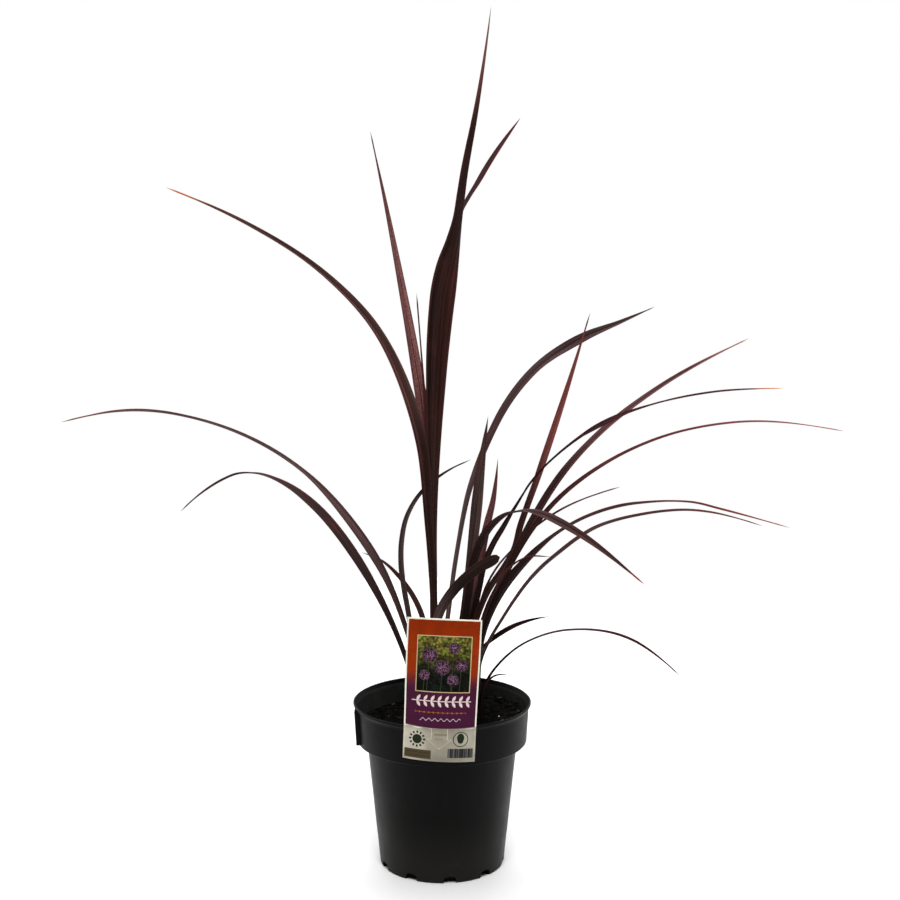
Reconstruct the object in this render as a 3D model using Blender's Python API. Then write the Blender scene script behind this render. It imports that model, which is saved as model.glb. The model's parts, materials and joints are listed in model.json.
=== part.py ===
"""Potted cordyline: a grass-leaved plant in a black nursery pot with a hang-on label.

Origin at the middle of the pot's underside, +Z up, the label at the front (-Y).
"""

import math
from typing import NamedTuple

import bmesh
import bpy
from mathutils import Vector

MM = 0.001
GAP = 0.3 * MM

# Pot
POT_HEIGHT = 159 * MM
POT_BASE_RADIUS = 59.8 * MM
POT_WAIST_RADIUS = 71.9 * MM
POT_WALL = 1.5 * MM
POT_FLOOR = 4.0 * MM
COLLAR_BOTTOM = 120.5 * MM
COLLAR_RADIUS_LOW = 81.0 * MM
COLLAR_RADIUS_HIGH = 82.8 * MM
LIP_RADIUS = 85.0 * MM
LIP_HEIGHT = 6.0 * MM
POT_SIDES = 48

# Flat panel moulded on the collar's left side
PANEL_CLOCK = 180.6
PANEL_HALF_WIDTH = 25 * MM
PANEL_BOTTOM = 122.4 * MM
PANEL_TOP = 155.0 * MM
PANEL_PROUD = 0.2 * MM

# Drain notches round the foot
NOTCH_COUNT = 10
NOTCH_FIRST_CLOCK = 205
NOTCH_WIDTH = 12 * MM
NOTCH_HEIGHT = 7 * MM
NOTCH_DEPTH = 7 * MM

# Potting soil
SOIL_TOP = 138.0 * MM

# Label: a flat card, wrapped round the lip at its foot and flat at its top
LABEL_WIDTH = 67 * MM
LABEL_HEIGHT = 133 * MM
LABEL_THICKNESS = 0.5 * MM
LABEL_BOTTOM = 127.4 * MM
LABEL_SHIFT = -3.5 * MM
LABEL_TILT = 2.6
LABEL_COLUMNS = 10
LABEL_ROWS = 8

# Shoots: the centre of each on the soil, and the stem inside its leaves
STEM_RADIUS = 4.0 * MM
STEM_HEIGHT = 38 * MM
STEM_SIDES = 14
SHOOT_CENTRES = {
    "left": Vector((-8, -6, 0)) * MM,
    "middle": Vector((10, 8, 0)) * MM,
    "right": Vector((27, -6, 0)) * MM,
}

# Leaves sit in rings round the stem and close in above it
RING_RADII = (5.2 * MM, 7.8 * MM, 10.4 * MM, 13.0 * MM)
CLOSING = 2.5 * MM
CLOSING_START = 160 * MM
CLOSING_END = 205 * MM
LEAF_BASE = SOIL_TOP + GAP
STATION_SPACING = 22 * MM
SHEATH_TO_NECK = 1.1
NECK_AT = 0.14
WIDENS_FROM = 0.4
MARGIN_THICKNESS = 0.5 * MM
MIDRIB_THICKNESS = 1.0 * MM
BLADE_FOLD = 0.28
NECK_FOLD = 0.42
BLUNT_END_FROM = 0.93

MAROON = (0.045, 0.022, 0.022)
RED_BROWN = (0.13, 0.035, 0.03)
ROSE = (0.25, 0.09, 0.085)


class Leaf(NamedTuple):
    """One leaf. Lengths are in millimetres and angles in degrees.

    clock is the side of the shoot that the leaf grows from and heading the
    direction that it leans to, both counted from +X towards +Y. arc gives
    points on the midrib as (distance from the foot along heading, height).
    turns gives (fraction of the length, twist of the blade about the midrib).
    """

    shoot: str
    ring: int
    clock: float
    heading: float
    neck: float
    width: float
    widest_at: float
    colour: tuple
    arc: tuple
    turns: tuple
    blunt: bool = False


LEAVES = {
    "leaf_tall": Leaf(
        "left", 0, -90, 25, 7, 23.5, 0.62, MAROON,
        ((0, 259), (-0.4, 355), (1.8, 449), (5, 504), (12, 559), (24, 605), (33, 659), (44, 713),
         (58, 807)),
        ((0.605, -115), (0.695, -54), (1, -40))),
    "leaf_upper_left": Leaf(
        "left", 1, -90, 205, 7, 11, 0.48, MAROON,
        ((0, 260), (5, 336), (13, 412), (23, 447), (61, 521), (104, 564), (185, 614), (248, 640)),
        ((0.3, 55), (0.5, 55), (0.6, 38), (0.8, 38), (1, 75))),
    "leaf_rose": Leaf(
        "left", 3, 95, 120, 6.5, 12, 0.45, ROSE,
        ((-1, 256), (3.5, 333), (14, 418), (34, 483), (67, 570), (123, 701)),
        ((0.12, -20), (0.34, -12), (0.56, -20), (1, 0))),
    "leaf_narrow_upright": Leaf(
        "left", 0, 100, 140, 3.5, 4.5, 0.45, RED_BROWN,
        ((0, 258), (4, 372), (11, 457), (20, 547)),
        ((0.12, -35), (0.5, -32), (1, -50))),
    "leaf_behind_tall": Leaf(
        "left", 2, 80, 60, 5, 10, 0.82, MAROON,
        ((-3, 257), (-2, 372), (4, 485), (24, 575), (49.5, 622), (78.5, 646), (104.5, 668.5), (171, 717)),
        ((0.12, 15), (0.34, 8), (0.56, -15), (0.78, -30), (1, 20))),
    "leaf_long_left": Leaf(
        "left", 3, 218, 200, 6.5, 11, 0.45, MAROON,
        ((19, 233), (43, 293), (67.5, 332), (122, 393), (199, 436), (271, 450), (329, 442)),
        ((0.12, 24), (0.34, 50), (0.56, 14), (0.78, 22), (0.9, 55), (1, 60))),
    "leaf_twisted_left": Leaf(
        "left", 3, 178, 150, 6.5, 10, 0.45, MAROON,
        ((20, 201), (53, 262), (83, 301), (115, 332), (156, 356), (203, 365), (255, 344), (291, 317)),
        ((0.12, -8), (0.34, -27), (0.56, -41), (0.78, 18), (1, 56))),
    "leaf_short_left": Leaf(
        "left", 1, 180, 165, 5.5, 7.5, 0.45, MAROON,
        ((1, 200), (6, 242), (26, 276.5), (45, 293.5), (66, 301)),
        ((0.12, 1), (0.34, -14), (0.56, -33), (1, -75))),
    "leaf_hooked": Leaf(
        "left", 3, 140, 210, 7, 7.4, 0.52, MAROON,
        ((18, 242), (26.5, 303), (24, 327), (15.5, 348), (3, 362), (-17, 375.5), (-51, 388)),
        ((0.12, -73), (0.5, -72), (1, -88))),
    "leaf_cut_short": Leaf(
        "left", 3, -95, -35, 8.5, 10.5, 0.8, MAROON,
        ((1, 205), (5, 244), (16, 264), (31, 281), (48, 296), (75, 311)),
        ((0.34, -75), (1, -105)), True),
    "leaf_grey_arch": Leaf(
        "left", 0, 20, 45, 5.5, 11.5, 0.7, MAROON,
        ((16, 239), (31, 312), (44, 356), (65, 395), (95.5, 435), (132, 464.5), (202, 494),
         (276, 511), (330, 524)),
        ((0.12, 8), (0.34, 8), (0.56, 6), (0.67, 16), (0.78, 54), (0.88, 30), (1, 25))),
    "leaf_dark_upright": Leaf(
        "middle", 1, -135, -5, 8, 11, 0.7, MAROON,
        ((8, 205), (14, 241), (23, 316), (30, 382), (37, 433)),
        ((0.34, -112), (0.56, -115), (1, -80))),
    "leaf_short_red": Leaf(
        "middle", 0, 110, 50, 6.5, 10, 0.6, RED_BROWN,
        ((7, 175), (29, 232), (52, 315), (63.5, 343), (71, 384)),
        ((0.34, 75), (0.56, 80), (1, 30))),
    "leaf_falling_front": Leaf(
        "middle", 1, -40, -50, 6.5, 9.5, 0.6, RED_BROWN,
        ((5, 200), (16, 259), (27, 304), (45, 331), (61, 343.5), (81, 353), (116, 355),
         (152, 347.5), (241, 312)),
        ((0.34, -40), (0.46, -28), (0.56, -4), (0.64, 12), (0.72, 40), (1, 70))),
    "leaf_orange_tip": Leaf(
        "middle", 0, 0, 10, 6.5, 8, 0.6, MAROON,
        ((6, 200), (20, 249), (30.5, 295), (54, 336), (73.5, 368), (114.5, 405), (183, 437),
         (243, 449), (325, 452.5)),
        ((0.12, -60), (0.24, -80), (0.36, -72), (0.45, -10), (0.57, -20), (0.65, -62),
         (0.74, -10), (1, -55))),
    "leaf_high_right": Leaf(
        "right", 1, 50, 30, 6.5, 9.5, 0.5, MAROON,
        ((10, 225), (38.5, 284), (65, 327), (98, 369), (145, 409), (210.5, 447), (331, 494.5)),
        ((0.12, 37), (0.34, 21), (0.56, 13), (0.78, 26), (1, 55))),
    "leaf_tall_red": Leaf(
        "right", 1, 115, 38, 6, 8, 0.6, RED_BROWN,
        ((12.5, 243), (30, 270), (53.5, 293), (64.5, 322), (84.5, 364), (125, 454), (154, 525)),
        ((0.12, 55), (0.34, 66), (0.56, 90), (0.78, 60), (1, 50))),
    "leaf_long_right": Leaf(
        "right", 0, 30, 14, 6, 7.5, 0.45, MAROON,
        ((3, 195), (16, 245.5), (40.5, 296), (57.5, 322.5), (86, 353.5), (126, 381.5),
         (187, 407.5), (269, 420), (381, 407.5)),
        ((0.12, 40), (0.34, 22), (0.7, 4), (1, 40))),
    "leaf_thin_right": Leaf(
        "middle", 1, 50, 25, 3, 4, 0.45, MAROON,
        ((6, 195), (21, 235), (42, 280), (57, 295), (85.5, 318.5), (108.5, 331), (182, 351.5)),
        ((0.34, 14), (0.56, -10), (0.78, 42), (1, 50))),
    "leaf_wide_right": Leaf(
        "right", 1, -25, -14, 6.5, 11, 0.38, MAROON,
        ((3, 195), (7.5, 225.5), (29, 275), (57, 308.5), (76.5, 326.5), (132, 354), (164, 360),
         (197, 361.5), (229.5, 355), (287, 341.5)),
        ((0.12, -39), (0.34, -48), (0.5, -16), (0.64, -30), (0.75, -12), (0.88, -40), (1, -44))),
    "leaf_lower_right": Leaf(
        "right", 2, -60, -30, 4.5, 7, 0.6, MAROON,
        ((6.5, 202), (31.5, 249), (66.5, 296), (90.5, 317.5), (117.5, 338), (167, 357),
         (214, 365), (277, 357)),
        ((0.12, -24), (0.56, -22), (0.78, -32), (1, -55))),
    "leaf_small_right": Leaf(
        "middle", 2, 0, 10, 2.2, 5.5, 0.66, MAROON,
        ((3, 172), (9, 195), (20, 206), (33.5, 217), (55, 228.5), (88, 235.5)),
        ((0.12, 3), (0.34, 12), (0.5, 20), (0.64, 42), (0.78, 45), (1, 45))),
    "leaf_over_rim": Leaf(
        "right", 2, 20, 20, 3.5, 5, 0.6, MAROON,
        ((2, 169), (14.5, 186.5), (42.5, 209), (74.5, 219), (117, 218.5), (155, 208), (215, 162)),
        ((0.12, 20), (0.34, -4), (0.56, 6), (0.78, 49), (1, 85))),
    "leaf_curled": Leaf(
        "right", 3, -30, 10, 3, 3.6, 0.45, RED_BROWN,
        ((1, 167), (6, 180), (14, 186), (28, 185)),
        ((0.12, -48), (1, -80))),
    "leaf_sliver": Leaf(
        "right", 2, -95, -15, 3, 4, 0.45, RED_BROWN,
        ((4, 200), (19, 261), (41, 296.5), (64, 307), (77, 306)),
        ((0.34, -85), (1, -95))),
}


def remove_all_objects():
    for old in list(bpy.data.objects):
        bpy.data.objects.remove(old, do_unlink=True)


def paint(obj, colour, roughness):
    """Give the object a Principled material of its own; nothing here is metal."""
    material = bpy.data.materials.new(obj.name)
    material.use_nodes = True
    shader = material.node_tree.nodes["Principled BSDF"]
    shader.inputs["Base Color"].default_value = (*colour, 1.0)
    shader.inputs["Roughness"].default_value = roughness
    shader.inputs["Metallic"].default_value = 0.0
    material.diffuse_color = (*colour, 1.0)
    obj.data.materials.append(material)


def object_from(name, points, faces, smooth_below=None):
    """Make a closed mesh object with its faces pointing out."""
    mesh = bpy.data.meshes.new(name)
    mesh.from_pydata([tuple(point) for point in points], [], faces)
    work = bmesh.new()
    work.from_mesh(mesh)
    bmesh.ops.recalc_face_normals(work, faces=work.faces)
    work.to_mesh(mesh)
    work.free()
    obj = bpy.data.objects.new(name, mesh)
    bpy.context.scene.collection.objects.link(obj)
    if smooth_below is not None:
        mesh.shade_smooth()
        mesh.set_sharp_from_angle(angle=math.radians(smooth_below))
    return obj


def turned(name, profile, sides, centre=Vector((0, 0, 0))):
    """Turn a profile of (radius, height) about a vertical axis; it starts and ends on the axis."""
    points = [centre + Vector((0, 0, profile[0][1]))]
    rings = profile[1:-1]
    for radius, height in rings:
        for k in range(sides):
            angle = math.tau * k / sides
            points.append(centre + Vector((radius * math.cos(angle), radius * math.sin(angle), height)))
    points.append(centre + Vector((0, 0, profile[-1][1])))
    last = len(points) - 1
    faces = []
    for k in range(sides):
        after = (k + 1) % sides
        faces.append((0, 1 + after, 1 + k))
        for i in range(len(rings) - 1):
            low = 1 + i * sides
            high = low + sides
            faces.append((low + k, low + after, high + after, high + k))
        top = 1 + (len(rings) - 1) * sides
        faces.append((last, top + k, top + after))
    return object_from(name, points, faces, 35)


def cut_with(target, tool, operation):
    """Apply a Boolean with a hidden tool object."""
    tool.hide_render = True
    tool.display_type = "WIRE"
    modifier = target.modifiers.new(tool.name, "BOOLEAN")
    modifier.operation = operation
    modifier.object = tool


def collar_radius_at(height):
    """Outer radius of the tapered collar."""
    rise = (height - COLLAR_BOTTOM) / (POT_HEIGHT - LIP_HEIGHT - COLLAR_BOTTOM)
    return COLLAR_RADIUS_LOW + (COLLAR_RADIUS_HIGH - COLLAR_RADIUS_LOW) * rise


def drain_notches():
    """One arched block for each notch, all in one tool."""
    half = NOTCH_WIDTH / 2
    below = -1 * MM
    outline = [
        (-half, below), (half, below), (half, 0.55 * NOTCH_HEIGHT),
        (0.55 * half, NOTCH_HEIGHT), (-0.55 * half, NOTCH_HEIGHT), (-half, 0.55 * NOTCH_HEIGHT)]
    points = []
    faces = []
    for i in range(NOTCH_COUNT):
        angle = math.radians(NOTCH_FIRST_CLOCK + 360 * i / NOTCH_COUNT)
        out = Vector((math.cos(angle), math.sin(angle), 0))
        across = Vector((-math.sin(angle), math.cos(angle), 0))
        first = len(points)
        for reach in (POT_BASE_RADIUS - NOTCH_DEPTH, POT_BASE_RADIUS + 4 * MM):
            for side, height in outline:
                points.append(out * reach + across * side + Vector((0, 0, height)))
        count = len(outline)
        faces.append(tuple(first + k for k in range(count)))
        faces.append(tuple(first + count + k for k in reversed(range(count))))
        for k in range(count):
            after = (k + 1) % count
            faces.append((first + after, first + k, first + count + k, first + count + after))
    return object_from("notch_tool", points, faces)


def label_panel():
    """Flat panel on the collar: flat outside, curved to the wall inside."""
    clock = math.radians(PANEL_CLOCK)
    out = Vector((math.cos(clock), math.sin(clock), 0))
    across = Vector((-math.sin(clock), math.cos(clock), 0))
    arc_steps = 8
    points = []
    for height in (PANEL_BOTTOM, PANEL_TOP):
        wall = collar_radius_at(height)
        inner = wall - 0.7 * POT_WALL
        face = wall + PANEL_PROUD
        rise = Vector((0, 0, height))
        points.append(out * face + across * PANEL_HALF_WIDTH + rise)
        points.append(out * face - across * PANEL_HALF_WIDTH + rise)
        for k in range(arc_steps + 1):
            side = PANEL_HALF_WIDTH * (2 * k / arc_steps - 1)
            points.append(out * math.sqrt(inner ** 2 - side ** 2) + across * side + rise)
    count = len(points) // 2
    faces = [tuple(range(count)), tuple(reversed(range(count, 2 * count)))]
    for k in range(count):
        after = (k + 1) % count
        faces.append((after, k, count + k, count + after))
    return object_from("panel_tool", points, faces)


def make_pot():
    """Turned pot with the panel joined on and the notches cut out."""
    lip_bottom = POT_HEIGHT - LIP_HEIGHT
    inner_collar_low = COLLAR_RADIUS_LOW - POT_WALL
    inner_collar_high = COLLAR_RADIUS_HIGH - POT_WALL
    profile = [
        (0, 0),
        # Resting pad, moulded groove and foot
        (38 * MM, 0), (40 * MM, 2 * MM), (46 * MM, 2 * MM), (48 * MM, 0),
        (POT_BASE_RADIUS - 1.2 * MM, 0),
        (POT_BASE_RADIUS, 1.2 * MM),
        # Tapered wall, step and collar
        (POT_WAIST_RADIUS, COLLAR_BOTTOM - 0.4 * MM),
        (COLLAR_RADIUS_LOW - 0.8 * MM, COLLAR_BOTTOM),
        (COLLAR_RADIUS_LOW, COLLAR_BOTTOM + 0.8 * MM),
        (COLLAR_RADIUS_HIGH, lip_bottom),
        # Lip, flared out a little
        (COLLAR_RADIUS_HIGH + 0.5 * MM, lip_bottom + 1.8 * MM),
        (LIP_RADIUS - 0.4 * MM, lip_bottom + 3.6 * MM),
        (LIP_RADIUS, lip_bottom + 4.6 * MM),
        (LIP_RADIUS, POT_HEIGHT - 0.5 * MM),
        (LIP_RADIUS - 0.5 * MM, POT_HEIGHT),
        (LIP_RADIUS - 1.4 * MM, POT_HEIGHT),
        # Inside: lip, collar, step, wall and floor
        (LIP_RADIUS - 2.0 * MM, lip_bottom + 4.4 * MM),
        (inner_collar_high + 0.4 * MM, lip_bottom + 1.6 * MM),
        (inner_collar_high, lip_bottom - 0.4 * MM),
        (inner_collar_low, COLLAR_BOTTOM + POT_WALL),
        (POT_WAIST_RADIUS - POT_WALL, COLLAR_BOTTOM + POT_WALL - 0.4 * MM),
        (POT_BASE_RADIUS - POT_WALL + 0.2 * MM, POT_FLOOR),
        (48 * MM, POT_FLOOR),
        (0, POT_FLOOR),
    ]
    pot = turned("nursery_pot", profile, POT_SIDES)
    cut_with(pot, label_panel(), "UNION")
    cut_with(pot, drain_notches(), "DIFFERENCE")
    paint(pot, (0.012, 0.012, 0.012), 0.42)


def make_soil():
    """Plug of potting mix that follows the pot's inside at a small gap, slightly domed on top."""
    floor = POT_FLOOR + GAP
    step = COLLAR_BOTTOM + POT_WALL + GAP
    wall_gap = POT_WALL + 2 * GAP
    profile = [
        (0, floor),
        (POT_BASE_RADIUS - wall_gap - 0.4 * MM, floor),
        (POT_WAIST_RADIUS - wall_gap - 0.2 * MM, step - 1 * MM),
        (POT_WAIST_RADIUS - wall_gap - 0.2 * MM, step),
        (COLLAR_RADIUS_LOW - wall_gap, step),
        (collar_radius_at(SOIL_TOP) - wall_gap, SOIL_TOP - 2 * MM),
        (62 * MM, SOIL_TOP - 0.6 * MM),
        (44 * MM, SOIL_TOP),
        (0, SOIL_TOP),
    ]
    soil = turned("potting_soil", profile, POT_SIDES)
    paint(soil, (0.018, 0.013, 0.010), 0.95)


def make_label():
    """Card whose curve eases from the lip's radius at the foot to flat at the top."""
    tilt = math.radians(LABEL_TILT)
    front = LIP_RADIUS + GAP
    full_curve = 1 / front
    easing_start = POT_HEIGHT
    easing_end = LABEL_BOTTOM + LABEL_HEIGHT

    def place(side, rise, outward):
        across = side * math.cos(tilt) + rise * math.sin(tilt) + LABEL_SHIFT
        height = LABEL_BOTTOM - side * math.sin(tilt) + rise * math.cos(tilt)
        ease = min(1.0, max(0.0, (height - easing_start) / (easing_end - easing_start)))
        curve = full_curve * (1 - 0.92 * ease * ease * (3 - 2 * ease))
        angle = curve * across
        radius = 1 / curve + outward
        return Vector((radius * math.sin(angle), 1 / curve - front - radius * math.cos(angle), height))

    points = []
    for outward in (0, LABEL_THICKNESS):
        for j in range(LABEL_ROWS + 1):
            for i in range(LABEL_COLUMNS + 1):
                side = LABEL_WIDTH * (i / LABEL_COLUMNS - 0.5)
                points.append(place(side, LABEL_HEIGHT * j / LABEL_ROWS, outward))
    row = LABEL_COLUMNS + 1
    sheet = row * (LABEL_ROWS + 1)
    faces = []
    for j in range(LABEL_ROWS):
        for i in range(LABEL_COLUMNS):
            a = j * row + i
            faces.append((a, a + 1, a + row + 1, a + row))
            faces.append((sheet + a, sheet + a + row, sheet + a + row + 1, sheet + a + 1))
    rim = [i for i in range(row)]
    rim += [j * row + LABEL_COLUMNS for j in range(1, LABEL_ROWS + 1)]
    rim += [LABEL_ROWS * row + i for i in reversed(range(LABEL_COLUMNS))]
    rim += [j * row for j in reversed(range(1, LABEL_ROWS))]
    for k, here in enumerate(rim):
        after = rim[(k + 1) % len(rim)]
        faces.append((here, after, sheet + after, sheet + here))
    label = object_from("plant_label", points, faces)
    paint(label, (0.45, 0.12, 0.05), 0.4)


def make_stem(shoot):
    """Short fleshy stem hidden inside the shoot's leaf bases."""
    top = LEAF_BASE + STEM_HEIGHT
    profile = [
        (0, LEAF_BASE),
        (STEM_RADIUS, LEAF_BASE),
        (0.95 * STEM_RADIUS, LEAF_BASE + 0.6 * STEM_HEIGHT),
        (0.55 * STEM_RADIUS, top - 3 * MM),
        (0, top),
    ]
    stem = turned("stem_" + shoot, profile, STEM_SIDES, SHOOT_CENTRES[shoot])
    paint(stem, (0.12, 0.06, 0.04), 0.6)


def ease(fraction):
    fraction = min(1.0, max(0.0, fraction))
    return fraction * fraction * (3 - 2 * fraction)


def between(pairs, fraction):
    """Read a value from (fraction, value) pairs, straight between them."""
    for (start, low), (end, high) in zip(pairs, pairs[1:]):
        if fraction <= end:
            return low + (high - low) * (fraction - start) / (end - start)
    return pairs[-1][1]


def curve_through(points, steps):
    """Smooth curve through the points that sets off straight up."""
    chords = [(b - a).length for a, b in zip(points, points[1:])]
    slopes = [(b - a) / chord for a, b, chord in zip(points, points[1:], chords)]
    tangents = []
    for i in range(1, len(points) - 1):
        weight = chords[i] / (chords[i - 1] + chords[i])
        tangents.append(slopes[i - 1] * weight + slopes[i] * (1 - weight))
    tangents.insert(0, Vector((0, 1)))
    tangents.append(1.5 * slopes[-1] - 0.5 * tangents[-1])
    curve = []
    for i, chord in enumerate(chords):
        for k in range(steps):
            u = k / steps
            curve.append(
                (2 * u ** 3 - 3 * u ** 2 + 1) * points[i]
                + (u ** 3 - 2 * u ** 2 + u) * chord * tangents[i]
                + (3 * u ** 2 - 2 * u ** 3) * points[i + 1]
                + (u ** 3 - u ** 2) * chord * tangents[i + 1])
    curve.append(points[-1].copy())
    return curve


def length_of(path):
    return sum((b - a).length for a, b in zip(path, path[1:]))


def pick_along(path, fractions):
    """Points of the path at fractions of its length."""
    total = length_of(path)
    picked = []
    travelled = 0.0
    i = 0
    for fraction in fractions:
        goal = fraction * total
        while i < len(path) - 2 and travelled + (path[i + 1] - path[i]).length < goal:
            travelled += (path[i + 1] - path[i]).length
            i += 1
        step = path[i + 1] - path[i]
        picked.append(path[i] + step * min(1.0, (goal - travelled) / step.length))
    return picked


def midrib_path(leaf):
    """Fine path of the midrib, from the leaf's place in its ring to its tip."""
    flat = [Vector((0, LEAF_BASE))] + [Vector((reach * MM, height * MM)) for reach, height in leaf.arc]
    clock = math.radians(leaf.clock)
    heading = math.radians(leaf.heading)
    ring_out = Vector((math.cos(clock), math.sin(clock), 0))
    lean = Vector((math.cos(heading), math.sin(heading), 0))
    path = []
    for reach, height in curve_through(flat, 24):
        closed = ease((height - CLOSING_START) / (CLOSING_END - CLOSING_START))
        radius = RING_RADII[leaf.ring] - CLOSING * closed
        path.append(SHOOT_CENTRES[leaf.shoot] + ring_out * radius + lean * reach + Vector((0, 0, height)))
    return path


def blade_width(leaf, fraction):
    """Width of the blade: clasping base, narrow neck, widest place and pointed or blunt end."""
    neck = leaf.neck * MM
    widest = leaf.width * MM
    if fraction < NECK_AT:
        base = neck * SHEATH_TO_NECK
        return base + (neck - base) * ease(fraction / NECK_AT)
    if fraction < leaf.widest_at:
        start = WIDENS_FROM * leaf.widest_at
        return neck + (widest - neck) * ease((fraction - start) / (leaf.widest_at - start))
    if leaf.blunt:
        past = max(0.0, (fraction - BLUNT_END_FROM) / (1 - BLUNT_END_FROM))
        return widest * math.sqrt(1 - past * past)
    return widest * (1 - ((fraction - leaf.widest_at) / (1 - leaf.widest_at)) ** 1.5)


def leaf_sections(leaf):
    """Shallow V sections of six points along the midrib, and the point at the leaf's tip."""
    path = midrib_path(leaf)
    count = max(8, round(length_of(path) / STATION_SPACING))
    fractions = [i / count for i in range(count + 1)]
    if leaf.blunt:
        fractions[-1:] = [0.955, 0.985, 1.0]
    spine = pick_along(path, fractions)
    heading = math.radians(leaf.heading)
    level = Vector((-math.sin(heading), math.cos(heading), 0))
    base_turn = (leaf.clock - leaf.heading + 180) % 360 - 180
    turns = ((0.0, base_turn),) + leaf.turns
    sections = []
    for i, fraction in enumerate(fractions[:-1]):
        along = (spine[i + 1] - spine[i - 1]).normalized() if i else Vector((0, 0, 1))
        side = (level - along * level.dot(along)).normalized()
        upper = along.cross(side)
        turn = math.radians(between(turns, fraction))
        across = side * math.cos(turn) + upper * math.sin(turn)
        face = upper * math.cos(turn) - side * math.sin(turn)
        half = blade_width(leaf, fraction) / 2
        fold = NECK_FOLD + (BLADE_FOLD - NECK_FOLD) * ease((fraction - NECK_AT) / 0.3)
        rise = face * half * fold
        slim = min(1.0, half / (2 * MM))
        margin = face * MARGIN_THICKNESS / 2 * slim
        rib = face * MIDRIB_THICKNESS / 2 * slim
        keel = spine[i] - rise / 2
        left = keel - across * half + rise
        right = keel + across * half + rise
        sections.append((left + margin, keel + rib, right + margin, right - margin, keel - rib, left - margin))
    return sections, spine[-1]


def make_leaf(name, leaf):
    """Skin the sections, closed by a small flat foot and a pointed tip."""
    sections, tip = leaf_sections(leaf)
    points = [point for section in sections for point in section] + [tip]
    last = len(points) - 1
    faces = [(0, 1, 4, 5), (1, 2, 3, 4)]
    for low in range(0, last - 6, 6):
        for k in range(6):
            after = (k + 1) % 6
            faces.append((low + k, low + 6 + k, low + 6 + after, low + after))
    for k in range(6):
        faces.append((last - 6 + k, last, last - 6 + (k + 1) % 6))
    leaf_object = object_from(name, points, faces, 60)
    paint(leaf_object, leaf.colour, 0.35)


def main():
    remove_all_objects()
    make_pot()
    make_soil()
    make_label()
    for shoot in SHOOT_CENTRES:
        make_stem(shoot)
    for name, leaf in LEAVES.items():
        make_leaf(name, leaf)


main()
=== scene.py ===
"""Potted cordyline: the looks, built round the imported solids.

Lengths are in metres, and MM turns millimetres into metres. Colours are written
as 0 to 255 screen values and turned into light values by colour().
"""

import json
import math
import random
from functools import partialmethod
from itertools import combinations
from typing import NamedTuple

import bmesh
import bpy
import numpy as np
from mathutils import Matrix, Vector, noise


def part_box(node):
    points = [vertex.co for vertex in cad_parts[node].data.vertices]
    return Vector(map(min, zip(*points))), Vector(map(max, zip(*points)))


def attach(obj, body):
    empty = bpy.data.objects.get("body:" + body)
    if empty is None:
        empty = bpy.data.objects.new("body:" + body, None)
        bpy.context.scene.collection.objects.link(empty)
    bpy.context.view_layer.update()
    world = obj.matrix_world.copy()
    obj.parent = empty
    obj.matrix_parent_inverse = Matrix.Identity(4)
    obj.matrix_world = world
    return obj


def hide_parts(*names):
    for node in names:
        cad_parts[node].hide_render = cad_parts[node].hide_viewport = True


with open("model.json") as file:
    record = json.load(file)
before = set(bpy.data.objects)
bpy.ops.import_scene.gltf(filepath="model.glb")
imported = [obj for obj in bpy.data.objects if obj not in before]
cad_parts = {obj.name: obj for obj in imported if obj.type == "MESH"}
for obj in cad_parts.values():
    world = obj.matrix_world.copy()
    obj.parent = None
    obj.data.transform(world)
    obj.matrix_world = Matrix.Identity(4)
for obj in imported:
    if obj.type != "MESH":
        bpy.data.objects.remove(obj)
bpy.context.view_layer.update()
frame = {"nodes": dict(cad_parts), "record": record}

MM = 0.001
NODES = frame["nodes"]
BODY = "root"
WELD = 2e-6

# Camera, as it stood for the photograph
PHOTO_SIDE = 900
FOCAL_LENGTH_PX = 1547
SENSOR_WIDTH_MM = 36
CAMERA_PLACE = Vector((0, -1.435, 0.600))
CAMERA_LOOKS_DOWN = 0.138
POT_AXIS_PX = 442.1

# Leaf: places across the blade from midrib to margin, and lengths along it
LEAF_STEP = 3.5 * MM
HALF_BLADE = (0.0, 0.09, 0.2, 0.36, 0.54, 0.72, 0.88, 0.97, 1.0)
BLADE_PLACES = [(-1, share) for share in reversed(HALF_BLADE[1:])] + [(0, 0.0)]
BLADE_PLACES += [(1, share) for share in HALF_BLADE[1:]]
BLADE_HALF_THICKNESS = 0.17 * MM
MARGIN_HALF_THICKNESS = 0.05 * MM
MIDRIB_KEEL = 0.5 * MM
MIDRIB_KEEL_SPREAD = 0.9 * MM
MIDRIB_GROOVE = 0.28 * MM
MIDRIB_GROOVE_SPREAD = 0.5 * MM
FOLD_ROUNDING = 0.12
TIP_HALF_WIDTH = 0.7 * MM
TIP_TAPER = 0.07
TIP_THICKNESS_SHARE = 0.3
BOW_SHARE = 0.10
PLEAT_SHARE = 0.06
WAVE_SHARE = 0.05
WAVE_LENGTH = 38 * MM
WAVE_STARTS = 60 * MM
WAVE_GROWS = 80 * MM
WAVE_FADES = 60 * MM

# Pot
POT_SIDES = 180
CLEAR_MERIDIAN = 45
FILLET = 0.7 * MM
PANEL_CLOCK = 180.6
PANEL_HALF_WIDTH = 25 * MM
PANEL_BOTTOM = 122.4 * MM
PANEL_TOP = 155 * MM
PANEL_PROUD = 0.2 * MM
COLLAR_BOTTOM = 120.5 * MM
INNER_WALL_RADIUS = 80.3 * MM
INNER_TAPER = 0.047
COLLAR_HEIGHTS = (126 * MM, 150 * MM)
NOTCH_COUNT = 10
NOTCH_FIRST_CLOCK = 205
NOTCH_WIDTH = 12 * MM
NOTCH_HEIGHT = 7 * MM
NOTCH_DEPTH = 7 * MM

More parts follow.
